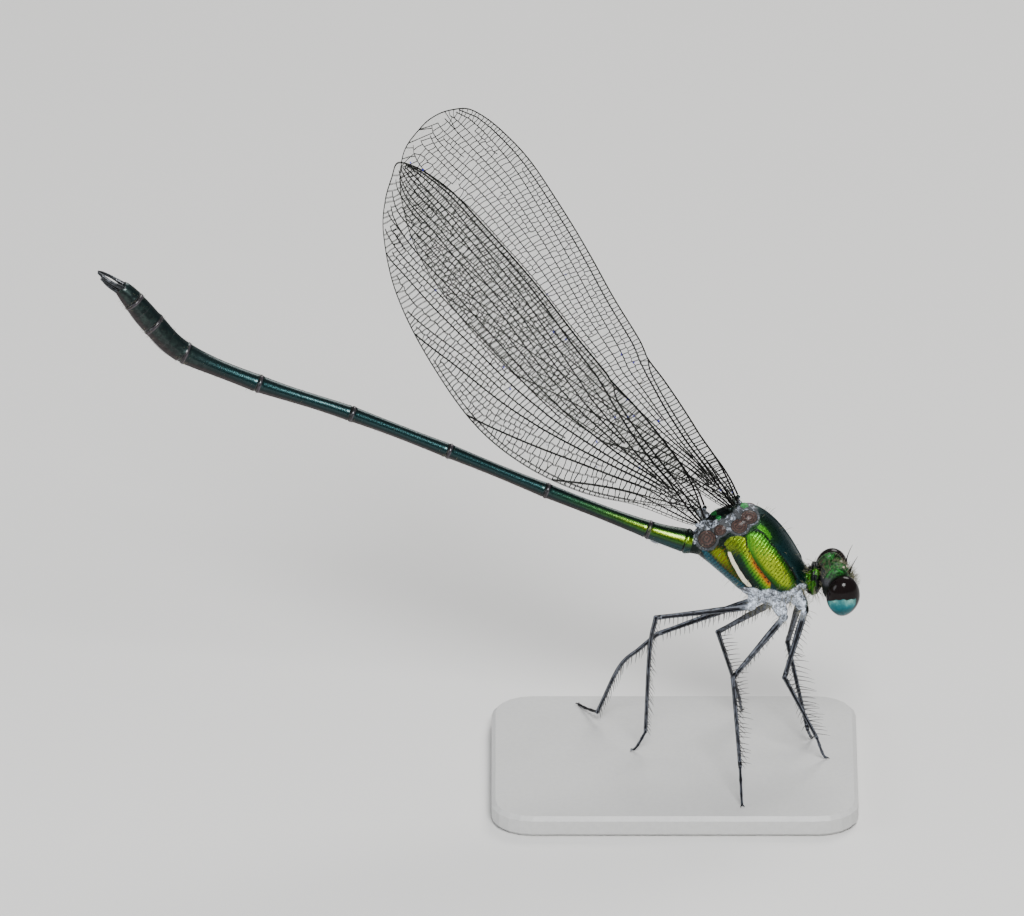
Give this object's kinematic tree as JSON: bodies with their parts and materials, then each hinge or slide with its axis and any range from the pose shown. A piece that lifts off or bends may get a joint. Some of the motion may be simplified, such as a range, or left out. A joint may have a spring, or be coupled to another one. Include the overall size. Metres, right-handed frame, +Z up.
{
  "type": "flashwing damselfly model",
  "caption": "Life-size model of a metallic green damselfly with a long slender abdomen, standing on a flat base with its clear veined wings closed above its back.",
  "frame": {"origin": "the middle of the model's footprint, on the underside of the base", "axes": "+X from the tail towards the head, +Y to the insect's left, +Z up"},
  "size_m": [0.056, 0.021, 0.0531],
  "materials": {
    "cuticle_green": "gloss",
    "cuticle_dark": "gloss",
    "leg_grey": "satin",
    "eye": "polished",
    "wing": "satin",
    "stand": "satin"
  },
  "bodies": {
    "root": {"head": "cuticle_green", "eye_left": "eye", "eye_right": "eye", "antenna_left": "leg_grey", "antenna_right": "leg_grey", "prothorax": "cuticle_green", "thorax": "cuticle_green", "abdomen_1": "cuticle_dark", "abdomen_2": "cuticle_dark", "abdomen_3": "cuticle_dark", "abdomen_4": "cuticle_dark", "abdomen_5": "cuticle_dark", "abdomen_6": "cuticle_dark", "abdomen_7": "cuticle_dark", "abdomen_8": "cuticle_dark", "abdomen_9": "cuticle_dark", "abdomen_10": "cuticle_dark", "clasper_left": "cuticle_dark", "clasper_right": "cuticle_dark", "leg_front_left_femur": "leg_grey", "leg_front_left_tibia": "leg_grey", "leg_front_left_tarsus": "leg_grey", "leg_front_right_femur": "leg_grey", "leg_front_right_tibia": "leg_grey", "leg_front_right_tarsus": "leg_grey", "leg_mid_left_femur": "leg_grey", "leg_mid_left_tibia": "leg_grey", "leg_mid_left_tarsus": "leg_grey", "leg_mid_right_femur": "leg_grey", "leg_mid_right_tibia": "leg_grey", "leg_mid_right_tarsus": "leg_grey", "leg_hind_left_femur": "leg_grey", "leg_hind_left_tibia": "leg_grey", "leg_hind_left_tarsus": "leg_grey", "leg_hind_right_femur": "leg_grey", "leg_hind_right_tibia": "leg_grey", "leg_hind_right_tarsus": "leg_grey", "forewing_left": "wing", "forewing_right": "wing", "hindwing_left": "wing", "hindwing_right": "wing", "stand_base": "stand"}
  },
  "joints": []
}
